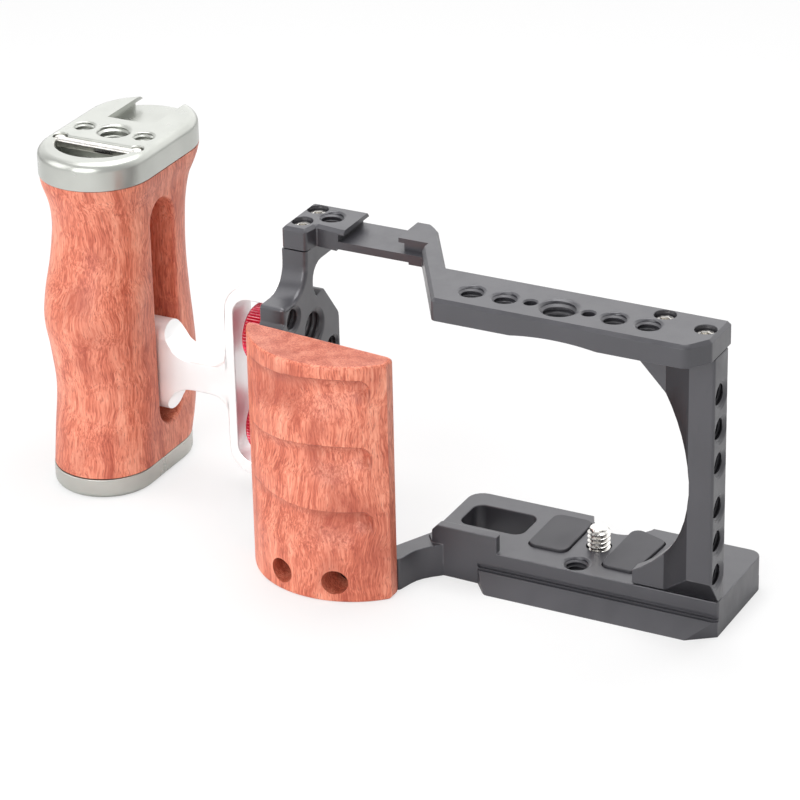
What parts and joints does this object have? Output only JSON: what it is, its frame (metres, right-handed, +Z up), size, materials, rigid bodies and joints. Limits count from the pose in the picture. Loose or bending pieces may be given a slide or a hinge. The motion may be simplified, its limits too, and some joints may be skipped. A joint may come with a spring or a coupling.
{
  "type": "camera cage",
  "caption": "Metal cage that frames a small camera, with a carved wooden front grip and a wooden side handle that slides on an arm clamped by thumbwheels.",
  "frame": {"origin": "centre of the bounding box on the surface that the base, the grip and the handle stand on", "axes": "+X from the side handle towards the column, +Y from the lens side towards the screen side, +Z up"},
  "size_m": [0.2088, 0.0832, 0.1],
  "materials": {
    "black_anodised": "satin",
    "grey_anodised": "satin",
    "silver_anodised": "satin",
    "red_anodised": "satin",
    "rosewood": "oiled",
    "bright_steel": "polished",
    "black_steel": "satin",
    "rubber": "matte"
  },
  "bodies": {
    "cage": {"base_plate": "black_anodised", "side_column": "black_anodised", "grip_side_plate": "black_anodised", "top_plate": "black_anodised", "front_grip": "rosewood", "camera_pad_1": "rubber", "camera_pad_2": "rubber", "sliding_arm": "silver_anodised", "clamp_plate": "silver_anodised", "top_screw_1": "bright_steel", "top_screw_2": "bright_steel", "top_screw_3": "bright_steel", "top_screw_4": "bright_steel", "column_screw_1": "black_steel", "column_screw_2": "black_steel", "side_plate_screw_1": "black_steel", "side_plate_screw_2": "black_steel", "grip_screw_1": "black_steel", "grip_screw_2": "black_steel", "clamp_bolt_1": "black_steel", "clamp_bolt_2": "black_steel"},
    "handle": {"handle_wood": "rosewood", "handle_top_cap": "grey_anodised", "handle_bottom_cap": "grey_anodised", "strap_bar": "bright_steel", "cap_screw": "black_steel", "bottom_cap_screw_1": "black_steel", "bottom_cap_screw_2": "black_steel"},
    "camera_screw": {"camera_screw": "bright_steel"},
    "upper_stud": {"thumbwheel_stud_1": "bright_steel"},
    "upper_thumbwheel": {"thumbwheel_1": "red_anodised"},
    "lower_stud": {"thumbwheel_stud_2": "bright_steel"},
    "lower_thumbwheel": {"thumbwheel_2": "red_anodised"}
  },
  "joints": [
    {"name": "handle_slide", "type": "slide", "parent": "cage", "child": "handle", "axis": [0, 0, 1], "range_m": [-0.036, 0.0042]},
    {"name": "camera_screw_turn", "type": "hinge", "parent": "cage", "child": "camera_screw", "pos_m": [0.06355, 0.00084, 0.005], "axis": [0, 0, 1], "continuous": true},
    {"name": "upper_stud_travel", "type": "slide", "parent": "cage", "child": "upper_stud", "axis": [1, 0, 0], "range_m": [-0.00254, 0]},
    {"name": "upper_thumbwheel_turn", "type": "hinge", "parent": "upper_stud", "child": "upper_thumbwheel", "pos_m": [-0.03945, 0.01049, 0.0484], "axis": [1, 0, 0], "range_deg": [-720, 0]},
    {"name": "lower_stud_travel", "type": "slide", "parent": "cage", "child": "lower_stud", "axis": [1, 0, 0], "range_m": [-0.00254, 0]},
    {"name": "lower_thumbwheel_turn", "type": "hinge", "parent": "lower_stud", "child": "lower_thumbwheel", "pos_m": [-0.03945, 0.01049, 0.0212], "axis": [1, 0, 0], "range_deg": [-720, 0]}
  ],
  "couplings": [
    {"joint": "upper_stud_travel", "follows": "upper_thumbwheel_turn", "m_per_rad": 0.00020213},
    {"joint": "lower_stud_travel", "follows": "lower_thumbwheel_turn", "m_per_rad": 0.00020213}
  ]
}
